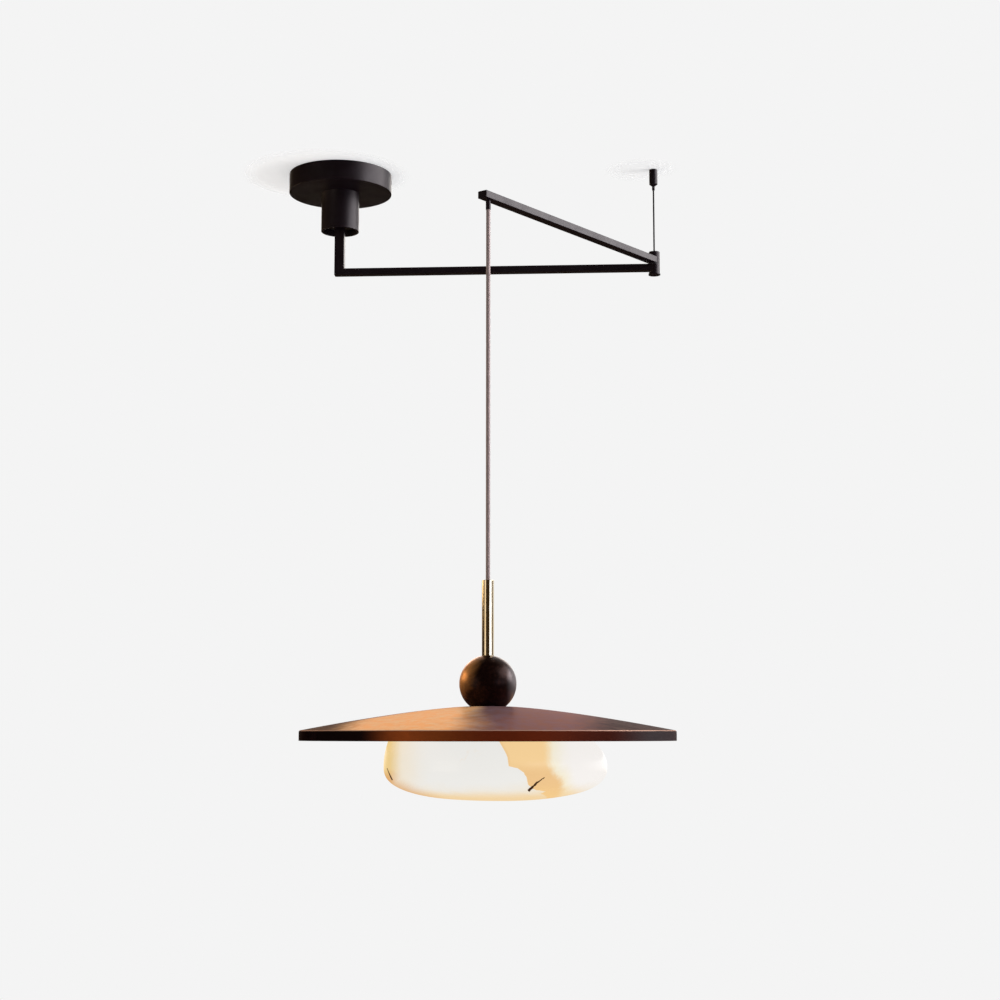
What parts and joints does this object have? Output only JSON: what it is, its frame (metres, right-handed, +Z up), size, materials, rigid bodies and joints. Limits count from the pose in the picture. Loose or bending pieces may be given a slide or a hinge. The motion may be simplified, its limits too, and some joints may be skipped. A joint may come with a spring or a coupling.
{
  "type": "swing arm pendant lamp",
  "caption": "Ceiling pendant on a two-part swing arm: black canopy and arms, a wire that holds the elbow, and a cord with a brass stem, ball, wide metal shade and glowing stone bowl.",
  "frame": {"origin": "middle of the ceiling plate, on the ceiling", "axes": "+Z up, +X along the lower arm at rest, so the lamp hangs towards -Y"},
  "size_m": [0.4724, 0.5465, 0.7773],
  "materials": {
    "black_paint": "satin black",
    "steel": "plain",
    "wire_steel": "stranded wire",
    "brass": "polished",
    "bronze": "satin bronze patina",
    "dark_bronze": "satin dark patina",
    "aluminium": "plain",
    "alabaster": "polished translucent stone, lit from inside",
    "cord_fabric": "woven cover",
    "lead_plastic": "plain",
    "white_plastic": "plain",
    "grey_plastic": "plain"
  },
  "bodies": {
    "ceiling_mount": {"ceiling_plate": "steel", "canopy_cover": "black_paint", "cover_screws": "black_paint", "terminal_block": "white_plastic", "mains_lead": "lead_plastic", "led_driver": "grey_plastic", "supply_lead": "lead_plastic", "neck_housing": "black_paint", "neck_bolts": "steel", "stop_pin": "steel", "shoulder_bush": "brass"},
    "lower_arm": {"shoulder_spindle": "steel", "stop_ring": "steel", "shoulder_washer": "steel", "shoulder_nut": "steel", "lower_arm_tube": "black_paint", "lower_arm_lead": "lead_plastic", "lower_barrel": "black_paint", "elbow_pin": "black_paint", "elbow_washer": "grey_plastic", "elbow_nut": "black_paint", "support_wire": "wire_steel", "gripper_body": "black_paint", "gripper_spring": "steel"},
    "gripper_nipple": {"release_nipple": "black_paint", "gripper_balls": "steel"},
    "upper_arm": {"upper_barrel": "black_paint", "elbow_bush": "brass", "upper_arm_tube": "black_paint", "upper_arm_lead": "lead_plastic", "arm_end_plug": "black_paint", "cord_gland": "black_paint", "cord_clamp": "steel", "clamp_screw": "steel", "cord_head": "cord_fabric", "pendant_cord": "cord_fabric"},
    "lamp": {"cord_tail": "cord_fabric", "stem_bush": "brass", "stem_tube": "brass", "cord_anchor": "steel", "threaded_rod": "steel", "ball": "dark_bronze", "shade": "bronze", "hub_spacer": "steel", "back_plate": "dark_bronze", "rod_washer": "steel", "rod_nut": "steel", "heat_spreader": "aluminium", "led_board": "white_plastic", "led_chips": "white_plastic", "led_lead": "lead_plastic", "carrier_ring": "steel", "carrier_screws": "steel", "diffuser": "alabaster"}
  },
  "joints": [
    {"name": "shoulder_swivel", "type": "hinge", "parent": "ceiling_mount", "child": "lower_arm", "pos_m": [0, 0, -0.056], "axis": [0, 0, 1], "range_deg": [-165, 165]},
    {"name": "elbow_swivel", "type": "hinge", "parent": "lower_arm", "child": "upper_arm", "pos_m": [0.398, 0, -0.1224], "axis": [0, 0, 1], "range_deg": [-50, 299]},
    {"name": "drop_height", "type": "slide", "parent": "upper_arm", "child": "lamp", "axis": [0, 0, 1], "range_m": [0, 0.3], "deforming": ["pendant_cord"]},
    {"name": "gripper_release", "type": "slide", "parent": "lower_arm", "child": "gripper_nipple", "axis": [0, 0, 1], "range_m": [0, 0.0015], "stiffness_N_per_m": 400, "springref_m": -0.003, "deforming": ["gripper_spring"]}
  ]
}
